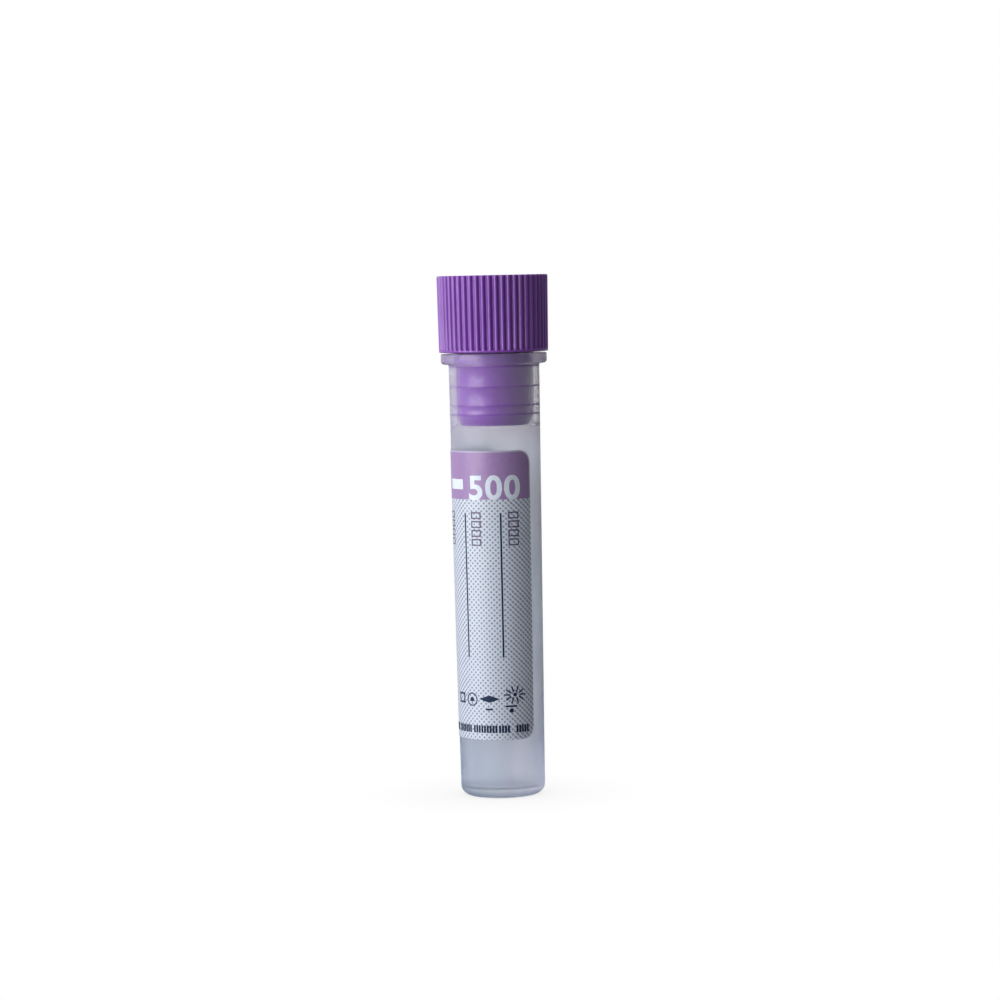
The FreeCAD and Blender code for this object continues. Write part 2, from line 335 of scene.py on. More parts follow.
def stopper_plastic(stopper, flange_foot):
    """Purple polyethylene with a fine satin texture from the mould.

    Its colour carries painted shade: darker in the grooves, in the seam under the grip, and on the plug
    inside the bore, for the light that the wall takes from it."""
    shader = Shader(bpy.data.materials.new("stopper_plastic"))
    tone = shader.noise(shader.stretched(1, 1, 0.5), 260).ramp(0.25, 0.75)
    worn = [channel * 0.9 for channel in stopper.tint]
    own_colour = shader.mix_colour(tone, opaque(worn), opaque(stopper.tint))
    height = shader.add("ShaderNodeSeparateXYZ", {}, {0: shader.place()})[2]
    # Painted shade: below the flange the plug is painted in the darker copy of its colour, for the light
    # that the wall takes from it.
    above_bore = height.ramp(flange_foot - 0.2 * MM, flange_foot)
    face = shader.mix_colour(above_bore, opaque(stopper.plug_shade_tint), own_colour)
    # Painted shadow: a band round the plug, between the rim and the grip's foot, is painted dark.
    foot = RIM + stopper.seat_gap
    under_grip = height.ramp(foot + 0.02 * MM, foot + 0.1 * MM, 1, 0)
    seam = height.ramp(RIM - 0.2 * MM, RIM - 0.1 * MM) * under_grip
    # Painted shade: the colour goes dark where ambient occlusion finds a groove or hollow.
    open_air = shader.add("ShaderNodeAmbientOcclusion", {"samples": 8, "only_local": True},
                          {"Distance": 2 * stopper.rib_height})[1]
    lit = open_air.ramp(0.3, 0.85) * (1 - seam * 0.8)
    grain = shader.noise(shader.place(), 5200, 3)
    return shader.finish(shader.add("ShaderNodeBsdfPrincipled", {}, {
        "Base Color": shader.mix_colour(lit, opaque(stopper.crevice_shade), face),
        "Roughness": grain.ramp(0.3, 0.7, 0.32, 0.42),
        "Specular IOR Level": 0.8,
        "Sheen Weight": 0.15,
        "Sheen Roughness": 0.4,
        "Normal": shader.bump(grain, 0.000006),
    })[0])


def label_film(label):
    """White film under a print of fine dots in staggered rows, which fine lines join at the sides.

    The glued face lets more of the light through than the printed one."""
    shader = Shader(bpy.data.materials.new("label_film"))
    flat = shader.add("ShaderNodeUVMap", {"uv_map": "flat"})[0]
    across, up, _ = shader.add("ShaderNodeSeparateXYZ", {}, {0: flat})
    height = LABEL_BOX[1].z - LABEL_BOX[0].z
    column = across * (height / label.dot_pitch)
    row = up * (height / (2 * label.dot_row))
    radius = label.dot_size / 2
    masks = []
    for shift in (0, 0.5):
        aside = ((column + shift).math("FRACT") - 0.5) * label.dot_pitch
        above = ((row + shift).math("FRACT") - 0.5) * (2 * label.dot_row)
        reach = (aside * aside + above * above).math("SQRT")
        masks.append(reach.ramp(radius * 0.75, radius * 1.2, 1, 0))
    dots = masks[0].math("MAXIMUM", masks[1])
    sides = ((1, across.ramp(*label.hatch_right)), (-1, across.ramp(*label.hatch_left, 1, 0)))
    for fall, part in sides:
        aside = ((column + row * fall).math("FRACT") - 0.5).math("ABSOLUTE")
        dots = dots.math("MAXIMUM", aside.ramp(0.32, 0.44) * part * 0.85)
    beside_header = up.math("GREATER_THAN", (HEADER_BOX[0].z - LABEL_BOX[0].z) / height)
    dots = dots * (1 - beside_header)
    sheet = shader.mix_colour(beside_header * 0.6, opaque(label.paper), opaque(label.header_ink))
    grain = shader.noise(shader.place(), 3000)
    patchy = shader.noise(shader.place(), 900).ramp(0.2, 0.8, 0.78, 0.95)
    face = shader.add("ShaderNodeBsdfPrincipled", {}, {
        "Base Color": shader.mix_colour(dots * patchy, sheet, opaque(label.dot_ink)),
        "Roughness": grain.ramp(0.3, 0.7, 0.38, 0.48),
        "Specular IOR Level": 0.8,
        "Normal": shader.bump(grain, 0.000003),
    })[0]
    through = shader.add("ShaderNodeBsdfTranslucent", {}, {"Color": opaque(label.backing)})[0]
    outward = shader.along(shader.stretched(1, 1, 0), shader.add("ShaderNodeNewGeometry")[1])
    glued = outward.math("LESS_THAN", 0)
    passed = 0.2 + glued * 0.6
    return shader.finish(shader.mix_shaders(passed, face, through))


def ink(name, rgb, gloss=0.8):
    """Printed ink, a little uneven in its cover."""
    shader = Shader(bpy.data.materials.new(name))
    cover = shader.noise(shader.place(), 1500, 3).ramp(0.25, 0.75)
    thin = [channel * 0.9 + 0.004 for channel in rgb]
    return shader.finish(shader.add("ShaderNodeBsdfPrincipled", {}, {
        "Base Color": shader.mix_colour(cover, opaque(thin), opaque(rgb)),
        "Roughness": cover.ramp(0, 1, 0.45, 0.4),
        "Specular IOR Level": gloss,
    })[0])


def floor_paint():
    """White studio floor. It shows white to the camera, with a painted soft shadow round the foot of what
    stands on it, where ambient occlusion finds it.
    """
    shader = Shader(bpy.data.materials.new("floor_paint"))
    paint = shader.add("ShaderNodeBsdfDiffuse", {}, {"Color": (0.3, 0.3, 0.3, 1)})[0]
    # Painted shadow: the floor's white goes grey where ambient occlusion finds the foot of the tube.
    open_sky = shader.add("ShaderNodeAmbientOcclusion", {"samples": 16}, {"Distance": 0.015})[1]
    shown = shader.mix_colour(open_sky, (0.8, 0.8, 0.8, 1), (1, 1, 1, 1))
    white = shader.add("ShaderNodeEmission", {}, {"Color": shown, "Strength": 1.0})[0]
    seen = seen_or_mirrored(shader, shader.along(shader.place(), BACKDROP).ramp(0.1, 1.2, 0, 1))
    return shader.finish(shader.mix_shaders(seen, paint, white))


def seen_or_mirrored(shader, mirrored):
    """1 for rays from the camera or through clear plastic, mirrored for rays from a reflection.

    0 for light that a surface has scattered, so that the white doesn't light the object."""
    path = shader.add("ShaderNodeLightPath")
    seen = path[0].math("MAXIMUM", path[3] * mirrored).math("MAXIMUM", path[6])
    return seen * path[10].math("LESS_THAN", 0.5)


# ---------------------------------------------------------------- modelling helpers
def start_piece(name):
    """Leaves edit mode, deselects everything and hands back the name for the object that is added next."""
    if bpy.context.object and bpy.context.object.mode != "OBJECT":
        bpy.ops.object.mode_set(mode="OBJECT")
    bpy.ops.object.select_all(action="DESELECT")
    return name


def edit(piece):
    bpy.context.view_layer.objects.active = piece
    piece.select_set(True)
    bpy.ops.object.mode_set(mode="EDIT")


def pick(piece, kind, test):
    """Selects the vertices, edges or faces whose middle passes the test."""
    bpy.ops.mesh.select_mode(type=kind)
    bpy.ops.mesh.select_all(action="DESELECT")
    mesh = bmesh.from_edit_mesh(piece.data)
    if kind == "VERT":
        for vertex in mesh.verts:
            vertex.select = test(vertex.co)
    elif kind == "EDGE":
        for side in mesh.edges:
            side.select = test((side.verts[0].co + side.verts[1].co) / 2)
    else:
        for face in mesh.faces:
            face.select = test(face.calc_center_median())
    mesh.select_flush_mode()
    bmesh.update_edit_mesh(piece.data)


def reach(point):
    """Distance from the tube's axis."""
    return math.hypot(point.x, point.y)


def finish_piece(piece, material, body, nodes=(), smooth=math.radians(35)):
    """Applies the piece's place, shades it and hands it to its body."""
    if piece.mode != "OBJECT":
        bpy.ops.object.mode_set(mode="OBJECT")
    bpy.ops.object.select_all(action="DESELECT")
    piece.select_set(True)
    bpy.context.view_layer.objects.active = piece
    bpy.ops.object.transform_apply(location=True, rotation=True, scale=True)
    if smooth:
        bpy.ops.object.shade_smooth_by_angle(angle=smooth)
    piece.data.materials.clear()
    piece.data.materials.append(material)
    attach(piece, body)
    if nodes:
        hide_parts(*nodes)
    return piece


def rounded(corners, segments=5):
    """Points of an outline whose corners are (radius, height) or (radius, height, rounding)."""
    points = []
    for index, corner in enumerate(corners):
        here = Vector(corner[:2])
        if len(corner) == 2:
            points.append(here)
            continue
        back = (Vector(corners[index - 1][:2]) - here).normalized()
        ahead = (Vector(corners[index + 1][:2]) - here).normalized()
        half = back.angle(ahead) / 2
        centre = here + (back + ahead).normalized() * (corner[2] / math.sin(half))
        start = here + back * (corner[2] / math.tan(half)) - centre
        end = here + ahead * (corner[2] / math.tan(half)) - centre
        sweep = start.angle(end)
        for step in range(segments + 1):
            share = step / segments
            first = math.sin((1 - share) * sweep) / math.sin(sweep)
            second = math.sin(share * sweep) / math.sin(sweep)
            points.append(centre + start * first + end * second)
    return points


def extrude_along(outline):
    """Extrudes the selected ring or arc through the outline's points after the first."""
    here = outline[0]
    for point in outline[1:]:
        bpy.ops.mesh.extrude_region_move(TRANSFORM_OT_translate={"value": (0, 0, point.y - here.y)})
        bpy.ops.transform.resize(value=(point.x / here.x, point.x / here.x, 1),
                                 center_override=(0, 0, 0))
        here = point


POLE = 0.2 * MM                 # radius of the last ring before an outline meets the axis


def close_pole(piece, height):
    """Draws the smallest ring at this height together on the axis."""
    pick(piece, "VERT", lambda co: reach(co) < POLE * 1.5 and abs(co.z - height) < POLE)
    bpy.ops.mesh.merge(type="CENTER")


# ---------------------------------------------------------------- tube
FACES_ROUND = 192
FLANGE_ROOT = 0.25 * MM         # roundings: where the wall meets the flange
FLANGE_FOOT = 0.45 * MM         # the flange's lower edge
FLANGE_TOP = 0.15 * MM          # the flange's upper edge
MOUTH_EDGE = 0.12 * MM          # the rim's inner edge


def wall_radius(tube, z):
    return tube.base_diameter / 2 + z * math.tan(tube.draft)


def bore_radius(tube, z):
    return wall_radius(tube, z) - tube.wall


def tube_outline(tube):
    flange = TUBE_BOX[1].x
    underside = RIM - tube.flange_thickness
    dish = tube.dish_diameter / 2
    cone_end = RIM - tube.cone_depth
    return rounded([
        (POLE, tube.dish_depth),
        (dish - tube.dish_depth, tube.dish_depth),
        (dish, 0),
        (wall_radius(tube, 0), 0, tube.outer_corner),
        (wall_radius(tube, underside), underside, FLANGE_ROOT),
        (flange, underside, FLANGE_FOOT),
        (flange, RIM, FLANGE_TOP),
        (tube.mouth_diameter / 2, RIM, MOUTH_EDGE),
        (tube.mouth_diameter / 2, RIM - tube.mouth_depth),
        (bore_radius(tube, cone_end), cone_end),
        (bore_radius(tube, tube.floor), tube.floor, tube.inner_corner),
        (POLE, tube.floor),
    ], segments=6)


class TUBE_OT_add_tube(bpy.types.Operator):
    """Turn the flat-bottomed tube with its flange, mouth and bore"""
    bl_idname = "tube.add_tube"
    bl_label = "Tube"

    def execute(self, context):
        tube = context.scene.tube_sizes
        outline = tube_outline(tube)
        name = start_piece("Tube")
        bpy.ops.mesh.primitive_circle_add(vertices=FACES_ROUND, radius=outline[0].x,
                                          location=(0, 0, 0))
        piece = context.object
        piece.name = name
        edit(piece)
        bpy.ops.transform.translate(value=(0, 0, outline[0].y))
        extrude_along(outline)
        close_pole(piece, tube.dish_depth)
        close_pole(piece, tube.floor)
        bpy.ops.mesh.select_all(action="SELECT")
        bpy.ops.mesh.normals_make_consistent(inside=False)
        finish_piece(piece, tube_plastic(tube), "tube", ["tube"])
        return {"FINISHED"}


# ---------------------------------------------------------------- stopper
RING_DEPTHS = (1.7 * MM, 4.37 * MM, 6.91 * MM, 8.08 * MM)       # sealing rings, below the rim
COLUMNS = 12                    # faces across one rib and its groove
PLUG_GAP = 0.05 * MM            # between the plug's plain shoulder and the mouth
END_WALL = 1.3 * MM             # closed end of the hollow plug
WEB_RISE = 1.7 * MM             # floor of the top recess, over the grip's foot
TOP_WIDTH = 1.5 * MM            # of the flat top, inside the ribs
HOLLOW_WALLS = (1.33 * MM, 1.26 * MM)               # round the plug's hollow, at its end and its top
GROOVE_RUN_OUT = 0.2 * MM       # over which a groove fades at the toe


def ring_radius(context, depth):
    """A sealing ring is pressed a little into the bore."""
    tube = context.scene.tube_sizes
    return bore_radius(tube, RIM - depth) + context.scene.stopper_sizes.ring_fit


def plug_outline(context):
    """Outside of the plug, from its shoulder under the grip down to its end."""
    tube, stopper = context.scene.tube_sizes, context.scene.stopper_sizes
    shoulder = tube.mouth_diameter / 2 - PLUG_GAP
    cone_end = RIM - tube.cone_depth
    outline = [
        (shoulder, RIM + stopper.seat_gap, 0.1 * MM),
        (shoulder, RIM - tube.mouth_depth, 0.2 * MM),
        (bore_radius(tube, cone_end) - PLUG_GAP, cone_end),
    ]
    half_ring, half_land = stopper.ring_width / 2, stopper.ring_land / 2
    for depth in RING_DEPTHS:
        crest = ring_radius(context, depth)
        if depth != RING_DEPTHS[0]:
            outline.append((crest - stopper.relief, RIM - depth + half_ring))
        outline.append((crest, RIM - depth + half_land))
        outline.append((crest, RIM - depth - half_land))
        if depth != RING_DEPTHS[-1]:
            outline.append((crest - stopper.relief, RIM - depth - half_ring))
    outline.append((stopper.plug_end_diameter / 2, STOPPER_BOX[0].z, 0.15 * MM))
    outline.append((POLE, STOPPER_BOX[0].z))
    return outline


def grip_radius(stopper, z):
    foot = RIM + stopper.seat_gap
    share = (z - foot) / (STOPPER_BOX[1].z - foot)
    return TUBE_BOX[1].x + stopper.overhang + share * stopper.flare


def stopper_outline(context):
    stopper = context.scene.stopper_sizes
    top, floor = STOPPER_BOX[1].z, STOPPER_BOX[0].z + END_WALL
    foot = RIM + stopper.seat_gap
    web = foot + WEB_RISE
    plug = bore_radius(context.scene.tube_sizes, STOPPER_BOX[0].z)
    inset = stopper.rib_height + TOP_WIDTH
    upper = [
        (POLE, floor),
        (plug - HOLLOW_WALLS[0], floor, 0.6 * MM),
        (plug - HOLLOW_WALLS[1], web, 0.3 * MM),
        (grip_radius(stopper, web) - inset, web, 0.6 * MM),
        (grip_radius(stopper, top) - inset, top, 0.25 * MM),
        (grip_radius(stopper, top), top, 0.25 * MM),
    ]
    toe = foot + stopper.toe
    steps = [toe + rise * MM for rise in (0.2, 0.1, 0.0)]
    middle = [(grip_radius(stopper, z), z) for z in [foot + 5 * MM] + steps]
    lower = [(grip_radius(stopper, foot), foot, 0.15 * MM)]
    return rounded(upper + middle + lower + plug_outline(context), segments=4)


def rib_profile(stopper, columns):
    """How far each column of one rib's slice lies under the crest: a round ridge between round grooves."""
    pitch = 2 * math.pi * grip_radius(stopper, RIM + stopper.seat_gap) / stopper.ribs
    half_height = stopper.rib_height / 2
    depths = []
    for column in range(columns + 1):
        across = (column / columns - 0.5) * pitch
        ridge = pitch * stopper.rib_share / 2
        groove = pitch / 2 - ridge
        if abs(across) < ridge:
            offset, half_width, side = abs(across), ridge, 1
        else:
            offset, half_width, side = pitch / 2 - abs(across), groove, -1
        bow = (half_width ** 2 + half_height ** 2) / (2 * half_height)
        sag = bow - math.sqrt(bow ** 2 - offset ** 2)
        depths.append(sag if side > 0 else stopper.rib_height - sag)
    return depths


class TUBE_OT_add_stopper(bpy.types.Operator):
    """Model one rib's slice of the stopper, from recess to plug, and spin it round"""
    bl_idname = "tube.add_stopper"
    bl_label = "Stopper"

    def execute(self, context):
        stopper = context.scene.stopper_sizes
        outline = stopper_outline(context)
        name = start_piece("Stopper")
        bpy.ops.mesh.primitive_circle_add(vertices=stopper.ribs * COLUMNS, radius=outline[0].x,
                                          location=(0, 0, 0))
        piece = context.object
        piece.name = name
        edit(piece)
        slice_angle = 2 * math.pi / stopper.ribs
        pick(piece, "VERT", lambda co: not -0.01 * slice_angle
             < math.atan2(co.y, co.x) < 1.01 * slice_angle)
        bpy.ops.mesh.delete(type="VERT")
        bpy.ops.mesh.select_all(action="SELECT")
        bpy.ops.transform.translate(value=(0, 0, outline[0].y))
        extrude_along(outline)
        self.press_grooves(piece, stopper, slice_angle)
        bpy.ops.mesh.select_all(action="SELECT")
        bpy.ops.mesh.spin(steps=stopper.ribs - 1, angle=2 * math.pi - slice_angle, dupli=True,
                          center=(0, 0, 0), axis=(0, 0, 1))
        bpy.ops.mesh.select_all(action="SELECT")
        bpy.ops.mesh.remove_doubles(threshold=MM / 3000)
        close_pole(piece, outline[0].y)
        close_pole(piece, outline[-1].y)
        bpy.ops.mesh.select_all(action="SELECT")
        bpy.ops.mesh.normals_make_consistent(inside=False)
        flange_foot = RIM - context.scene.tube_sizes.flange_thickness
        finish_piece(piece, stopper_plastic(stopper, flange_foot), "stopper", ["stopper"])
        return {"FINISHED"}

    def press_grooves(self, piece, stopper, slice_angle):
        """Draws the columns beside the ridge in towards the axis, above the toe."""
        depths = rib_profile(stopper, COLUMNS)
        foot = RIM + stopper.seat_gap
        toe = foot + stopper.toe
        inner = grip_radius(stopper, foot) - 2 * stopper.rib_height
        mesh = bmesh.from_edit_mesh(piece.data)
        for vertex in mesh.verts:
            share = min(1.0, max(0.0, (vertex.co.z - toe) / GROOVE_RUN_OUT))
            if vertex.co.z < toe - MM / 100 or reach(vertex.co) < inner:
                continue
            column = round(math.atan2(vertex.co.y, vertex.co.x) / slice_angle * COLUMNS)
            depth = depths[column] * math.sin(share * math.pi / 2)
            limit = grip_radius(stopper, vertex.co.z) - depth
            if reach(vertex.co) > limit:
                scale = limit / reach(vertex.co)
                vertex.co.x *= scale
                vertex.co.y *= scale
        bmesh.update_edit_mesh(piece.data)


# ---------------------------------------------------------------- label and print
def add_flat(name, x, z, width, height, turn=0.0):
    """A flat rectangle in the front plane, centred at x along the wall and at height z."""
    start_piece(name)
    bpy.ops.mesh.primitive_plane_add(size=1, location=(0, 0, 0), rotation=(math.pi / 2, 0, 0))
    piece = bpy.context.object
    piece.name = name
    bpy.ops.object.transform_apply(location=False, rotation=True, scale=False)
    edit(piece)
    bpy.ops.mesh.select_all(action="SELECT")
    bpy.ops.transform.resize(value=(width, 1, height))
    bpy.ops.object.mode_set(mode="OBJECT")
    piece.rotation_euler = (0, turn, 0)
    piece.location = (x, 0, z)
    bpy.ops.object.transform_apply(location=True, rotation=True, scale=True)
    return piece


def round_corners(piece, radius, only_above=None):
    """Bevels the rectangle's corner points."""
    edit(piece)
    pick(piece, "VERT", lambda co: only_above is None or co.z > only_above)
    bpy.ops.mesh.bevel(offset=radius, offset_type="OFFSET", segments=8, affect="VERTICES")
    bpy.ops.object.mode_set(mode="OBJECT")


def frame_out(piece, stroke):
    """Leaves only a border of this width."""
    edit(piece)
    bpy.ops.mesh.select_all(action="SELECT")
    bpy.ops.mesh.inset(thickness=stroke)
    bpy.ops.mesh.delete(type="FACE")
    bpy.ops.object.mode_set(mode="OBJECT")


def add_disc(name, x, z, radius, hole=0.0, vertices=24):
    """A flat disc or ring in the front plane."""
    start_piece(name)
    bpy.ops.mesh.primitive_circle_add(vertices=vertices, radius=radius, fill_type="NGON",
                                      location=(x, 0, z), rotation=(math.pi / 2, 0, 0))
    piece = bpy.context.object
    piece.name = name
    bpy.ops.object.transform_apply(location=True, rotation=True, scale=True)
    if hole:
        frame_out(piece, radius - hole)
    return piece


def join_flat(name, pieces):
    start_piece(name)
    for piece in pieces:
        piece.select_set(True)
    bpy.context.view_layer.objects.active = pieces[0]
    if len(pieces) > 1:
        bpy.ops.object.join()
    pieces[0].name = name
    return pieces[0]


def cut_upright(piece, step):
    """Cuts a flat piece into upright strips, so that it can wrap round the wall."""
    edit(piece)
    xs = [vertex.co.x for vertex in piece.data.vertices]
    first = math.floor(min(xs) / step) + 1
    last = math.ceil(max(xs) / step)
    for number in range(first, last):
        bpy.ops.mesh.select_all(action="SELECT")
        bpy.ops.mesh.bisect(plane_co=(number * step, 0, 0), plane_no=(1, 0, 0))
    bpy.ops.object.mode_set(mode="OBJECT")


def flat_map(piece):
    """Keeps the flat layout in a map whose unit is the label's height."""
    height = LABEL_BOX[1].z - LABEL_BOX[0].z
    layer = piece.data.uv_layers.get("UVMap") or piece.data.uv_layers.new(name="UVMap")
    layer.name = "flat"
    left = min(vertex.co.x for vertex in piece.data.vertices)
    for corner in piece.data.loops:
        co = piece.data.vertices[corner.vertex_index].co
        layer.data[corner.index].uv = ((co.x - left) / height, (co.z - LABEL_BOX[0].z) / height)


def wrap(piece, context, lift, thickness):
    """Bends a flat piece round the tube, lays it lift over the wall and gives it a thickness."""
    radius = wall_radius(context.scene.tube_sizes, LABEL_MIDDLE)
    cut_upright(piece, math.radians(3) * radius)
    start_piece(piece.name)
    piece.select_set(True)
    context.view_layer.objects.active = piece
    xs = [vertex.co.x for vertex in piece.data.vertices]
    bend = piece.modifiers.new("bend", "SIMPLE_DEFORM")
    bend.deform_method = "BEND"
    bend.deform_axis = "Z"
    bend.angle = (max(xs) - min(xs)) / radius
    bpy.ops.object.modifier_apply(modifier="bend")
    piece.location = (0, -radius, 0)
    bpy.ops.object.transform_apply(location=True, rotation=True, scale=True)
    cling = piece.modifiers.new("cling", "SHRINKWRAP")
    cling.target = bpy.data.objects["Tube"]
    cling.wrap_mode = "ABOVE_SURFACE"
    cling.offset = lift
    bpy.ops.object.modifier_apply(modifier="cling")
    body = piece.modifiers.new("body", "SOLIDIFY")
    body.thickness = thickness
    body.offset = 1
    bpy.ops.object.modifier_apply(modifier="body")
    return piece


def along_wall(context, angle):
    """Flat place of an angle round from the front."""
    return angle * wall_radius(context.scene.tube_sizes, LABEL_MIDDLE)


# Places along the wall are measured from the front, to the right, before the label is wrapped.
GLUE = 0.01 * MM                # how far the label's back lies in the wall, so that no light gets under
INK_GAP = 0.004 * MM            # between the label's face and the ink
FIGURES = "500"
FIGURES_PLACE = (-0.4 * MM, 0.06 * MM)              # their middle, and their rise over the header's foot
FIGURES_SIZE = 4.44 * MM
FIGURES_WEIGHT = 0.12 * MM      # how much bolder than the plain letters
FIGURES_SPACING = 1.1
PANEL_PLACE = (-6.35 * MM, 2.0 * MM)                # its middle, and its rise over the header's foot
PANEL_SIZE = (2.95 * MM, 1.35 * MM)
BOX_SIZE = (1.45 * MM, 0.95 * MM)
BOX_FROM_LINE = 1.7 * MM
BOX_PITCH = 1.2 * MM
BOXES_IN_A_COLUMN = 4
FIRST_BOX_DROP = 0.3 * MM       # from the lines' upper end to the first box's middle
WRITING_LINES = 3
SQUARE_MIDDLE = (-6.4 * MM, 13.6 * MM)
SQUARE_SIDE = 1.4 * MM
RING_MIDDLE = (-4.28 * MM, 13.5 * MM)
RING_RADIUS = 0.9 * MM
RING_HOLE = 0.74 * MM
RING_DOT = 0.32 * MM
LOZENGE_MIDDLE = (-1.65 * MM, 13.6 * MM)
LOZENGE_HALF_HEIGHT = 0.5 * MM
LOZENGE_STRETCH = 3.0           # its width over its height
LOZENGE_DASH = (12.2 * MM, 1.0 * MM)                # height over the floor, length
BURST_MIDDLE = (1.89 * MM, 14.14 * MM)
BURST_DOT = 0.26 * MM
BURST_REACH = (1.1 * MM, 0.8 * MM)                  # across and up, to the middle of a ray
BURST_RAYS = 10
RAY_LENGTH = 0.85 * MM
SIGN_FOOT = 1.37 * MM           # middle of the dash and the dot under the burst
FOOT_DASH = (12.6 * MM, 1.6 * MM)                   # height over the floor, length
FOOT_DOT = (12.0 * MM, 0.3 * MM)                    # height over the floor, radius
BAR_GROUPS = ((2.0, 5), (-0.4, 4), (-4.1, 9), (-7.2, 7), (-13.2, 14))   # start in mm, bars
BAR_SIZE = (0.29 * MM, 1.0 * MM)
BAR_INSET = 0.14 * MM           # from a group's start to its first bar's middle
BAR_PITCH = 0.4 * MM
BAR_HEIGHT = 9.53 * MM          # of the bars' middle over the floor


class TUBE_OT_add_label(bpy.types.Operator):
    """Lay the label flat with its print, then wrap both round the tube"""
    bl_idname = "tube.add_label"
    bl_label = "Label"

    def execute(self, context):
        label = context.scene.label_sizes
        bottom, top = LABEL_BOX[0].z, LABEL_BOX[1].z
        right = along_wall(context, label.right_edge)
        middle = right - label.width / 2
        sheet = add_flat("Label", middle, (bottom + top) / 2, label.width, top - bottom)
        round_corners(sheet, label.corner)
        flat_map(sheet)
        wrap(sheet, context, -GLUE, label.thickness + GLUE)
        finish_piece(sheet, label_film(label), "tube", ["label"])
        self.lay_header(context, label, middle)
        self.lay_lines(context, label, right)
        self.lay_marks(context, label, right)
        return {"FINISHED"}

    def lay_header(self, context, label, middle):
        margin = LABEL_BOX[1].z - HEADER_BOX[1].z
        low, high = HEADER_BOX[0].z, HEADER_BOX[1].z
        band = add_flat("HeaderBand", middle, (low + high) / 2, label.width - 2 * margin, high - low)
        round_corners(band, label.corner - margin, (low + high) / 2)
        wrap(band, context, label.thickness + INK_GAP, label.ink)
        finish_piece(band, ink("header_ink", label.header_ink), "tube", ["label_header"])
        start_piece("HeaderFigures")
        bpy.ops.object.text_add(location=(0, 0, 0), rotation=(math.pi / 2, 0, 0))
        figures = context.object
        figures.name = "HeaderFigures"
        figures.data.body = FIGURES
        figures.data.align_x = "CENTER"
        figures.data.size = FIGURES_SIZE
        figures.data.offset = FIGURES_WEIGHT
        figures.data.space_character = FIGURES_SPACING
        figures.location = (FIGURES_PLACE[0], 0, low + FIGURES_PLACE[1])
        bpy.ops.object.convert(target="MESH")
        bpy.ops.object.transform_apply(location=True, rotation=True, scale=True)
        panel = add_flat("HeaderPanel", PANEL_PLACE[0], low + PANEL_PLACE[1], *PANEL_SIZE)
        figures = join_flat("HeaderFigures", [figures, panel])
        wrap(figures, context, label.thickness + INK_GAP + label.ink, label.ink)
        finish_piece(figures, ink("figure_ink", label.paper), "tube")

    def lay_lines(self, context, label, right):
        low, high = LINES_BOX[0].z, LINES_BOX[1].z
        lines = [add_flat("line", x, (low + high) / 2, label.line_width, high - low)
                 for x in line_places(label, right)]
        joined = join_flat("WritingLines", lines)
        wrap(joined, context, label.thickness + INK_GAP, label.ink)
        finish_piece(joined, ink("line_ink", label.line_ink, 0.2), "tube",
                     ["label_writing_lines"])

    def lay_marks(self, context, label, right):
        boxes = []
        for line in line_places(label, right):
            for row in range(BOXES_IN_A_COLUMN):
                z = LINES_BOX[1].z - FIRST_BOX_DROP - row * BOX_PITCH
                box = add_flat("box", line + BOX_FROM_LINE, z, *BOX_SIZE)
                frame_out(box, label.stroke * 0.8)
                boxes.append(box)
        joined = join_flat("EntryBoxes", boxes)
        wrap(joined, context, label.thickness + INK_GAP, label.ink)
        finish_piece(joined, ink("entry_ink", label.dot_ink, 0.4), "tube")
        joined = join_flat("FootMarks", self.foot_signs(label.stroke) + self.foot_bars())
        wrap(joined, context, label.thickness + INK_GAP, label.ink)
        finish_piece(joined, ink("mark_ink", label.line_ink, 0.2), "tube")

    def foot_signs(self, stroke):
        """A square, a ring, a lozenge and a burst, each as a plain figure."""
        square = add_flat("square", *SQUARE_MIDDLE, SQUARE_SIDE, SQUARE_SIDE)
        frame_out(square, stroke)
        ring = add_disc("ring", *RING_MIDDLE, RING_RADIUS, RING_HOLE)
        centre = add_disc("centre", *RING_MIDDLE, RING_DOT)
        lozenge = add_disc("lozenge", 0, 0, LOZENGE_HALF_HEIGHT, vertices=4)
        lozenge.scale = (LOZENGE_STRETCH, 1, 1)
        lozenge.location = (LOZENGE_MIDDLE[0], 0, LOZENGE_MIDDLE[1])
        bpy.ops.object.transform_apply(location=True, rotation=True, scale=True)
        under = add_flat("bar", LOZENGE_MIDDLE[0], *LOZENGE_DASH, stroke)
        burst = [add_disc("burst", *BURST_MIDDLE, BURST_DOT)]
        for ray in range(BURST_RAYS):
            turn = (ray + 0.5) * 2 * math.pi / BURST_RAYS
            x = BURST_MIDDLE[0] + BURST_REACH[0] * math.sin(turn)
            z = BURST_MIDDLE[1] + BURST_REACH[1] * math.cos(turn)
            burst.append(add_flat("ray", x, z, stroke * 0.8, RAY_LENGTH, turn))
        burst.append(add_flat("bar", SIGN_FOOT, *FOOT_DASH, stroke))
        burst.append(add_disc("dot", SIGN_FOOT, *FOOT_DOT))
        return [square, ring, centre, lozenge, under] + burst

    def foot_bars(self):
        """Groups of short upright bars along the label's foot."""
        bars = []
        for start, count in BAR_GROUPS:
            for number in range(count):
                x = start * MM + BAR_INSET + number * BAR_PITCH
                bars.append(add_flat("bar", x, BAR_HEIGHT, *BAR_SIZE))
        return bars


def line_places(label, right):
    """Where the writing lines lie along the wall."""
    return [right - label.line_from_edge - number * label.line_pitch
            for number in range(WRITING_LINES)]


# ---------------------------------------------------------------- stage
FLOOR_SIZE = 6.0                # metres, so that its edge is out of sight


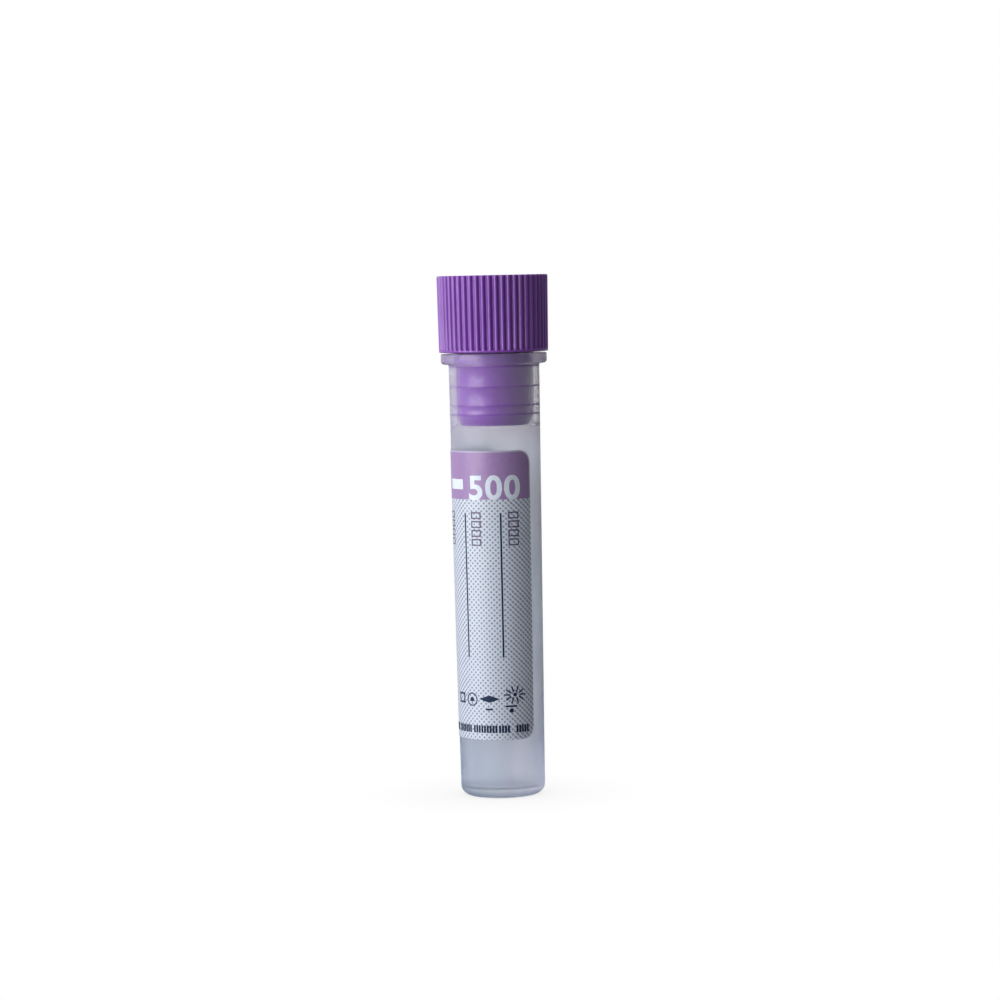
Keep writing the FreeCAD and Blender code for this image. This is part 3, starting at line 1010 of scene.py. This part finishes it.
class TUBE_OT_add_stage(bpy.types.Operator):
    """Lay the white floor, hang the lamp and set up the camera"""
    bl_idname = "tube.add_stage"
    bl_label = "Stage"

    def execute(self, context):
        stage = context.scene.stage_sizes
        self.lay_floor()
        self.light(context, stage)
        self.set_camera(context, stage)
        context.scene.view_settings.view_transform = "Standard"
        return {"FINISHED"}

    def lay_floor(self):
        start_piece("Floor")
        bpy.ops.mesh.primitive_plane_add(size=FLOOR_SIZE, location=(0, 0, 0))
        floor = bpy.context.object
        floor.name = "Floor"
        floor.data.materials.append(floor_paint())

    def light(self, context, stage):
        across = stage.key_distance * math.cos(stage.key_elevation)
        rise = stage.key_distance * math.sin(stage.key_elevation)
        place = Vector((across * math.sin(stage.key_azimuth), -across * math.cos(stage.key_azimuth),
                        LABEL_MIDDLE + rise))
        start_piece("KeyLight")
        bpy.ops.object.light_add(type="AREA", location=place)
        lamp = context.object
        lamp.name = "KeyLight"
        lamp.data.shape = "SQUARE"
        lamp.data.size = stage.key_size
        lamp.data.energy = stage.key_power
        lamp.rotation_euler = (Vector((0, 0, LABEL_MIDDLE)) - place).to_track_quat("-Z", "Y").to_euler()
        shader = Shader(bpy.data.worlds.new("Studio"))
        context.scene.world = shader.owner
        dim, bright, white = (
            shader.add("ShaderNodeBackground", {}, {"Color": (1, 1, 1, 1), "Strength": strength})[0]
            for strength in (stage.room * (1 - stage.lean), stage.room * (1 + stage.lean), 1.0))
        towards = shader.along(shader.add("ShaderNodeTexCoord")[0], BACKDROP)
        room = shader.mix_shaders(towards * 0.5 + 0.5, dim, bright)
        shown = seen_or_mirrored(shader, towards.ramp(0.2, 0.8, 0, 1))
        shader.finish(shader.mix_shaders(shown, room, white))

    def set_camera(self, context, stage):
        start_piece("Camera")
        bpy.ops.object.camera_add(location=(0, -stage.distance, stage.height))
        camera = context.object
        camera.name = "Camera"
        camera.data.sensor_width = 36
        camera.data.lens = stage.lens
        camera.data.clip_start = 0.01
        camera.rotation_mode = "XYZ"
        camera.rotation_euler = (math.pi / 2 - stage.pitch, 0, -stage.pan)
        context.view_layer.update()
        camera.rotation_euler.rotate_axis("Z", -stage.roll)
        context.scene.camera = camera


# ---------------------------------------------------------------- panel
class TUBE_PT_panel(bpy.types.Panel):
    """Sizes, colours and pieces of the tube"""
    bl_label = "Blood collection tube"
    bl_space_type = "VIEW_3D"
    bl_region_type = "UI"
    bl_category = "Tube"

    def draw(self, context):
        for name in SETTINGS:
            box = self.layout.box()
            box.label(text=name.replace("_", " ").capitalize())
            group = getattr(context.scene, name)
            for key in group.__annotations__:
                box.prop(group, key)
        for operator in OPERATORS:
            self.layout.operator(operator.bl_idname)


OPERATORS = (TUBE_OT_add_tube, TUBE_OT_add_stopper, TUBE_OT_add_label, TUBE_OT_add_stage)
CLASSES = tuple(SETTINGS.values()) + OPERATORS + (TUBE_PT_panel,)


def register():
    for cls in CLASSES:
        bpy.utils.register_class(cls)
    for name, group in SETTINGS.items():
        setattr(bpy.types.Scene, name, PointerProperty(type=group))


def unregister():
    for name in SETTINGS:
        delattr(bpy.types.Scene, name)
    for cls in reversed(CLASSES):
        bpy.utils.unregister_class(cls)


def main():
    register()
    bpy.ops.tube.add_tube()
    bpy.ops.tube.add_stopper()
    bpy.ops.tube.add_label()
    bpy.ops.tube.add_stage()


if __name__ == "__main__":
    main()
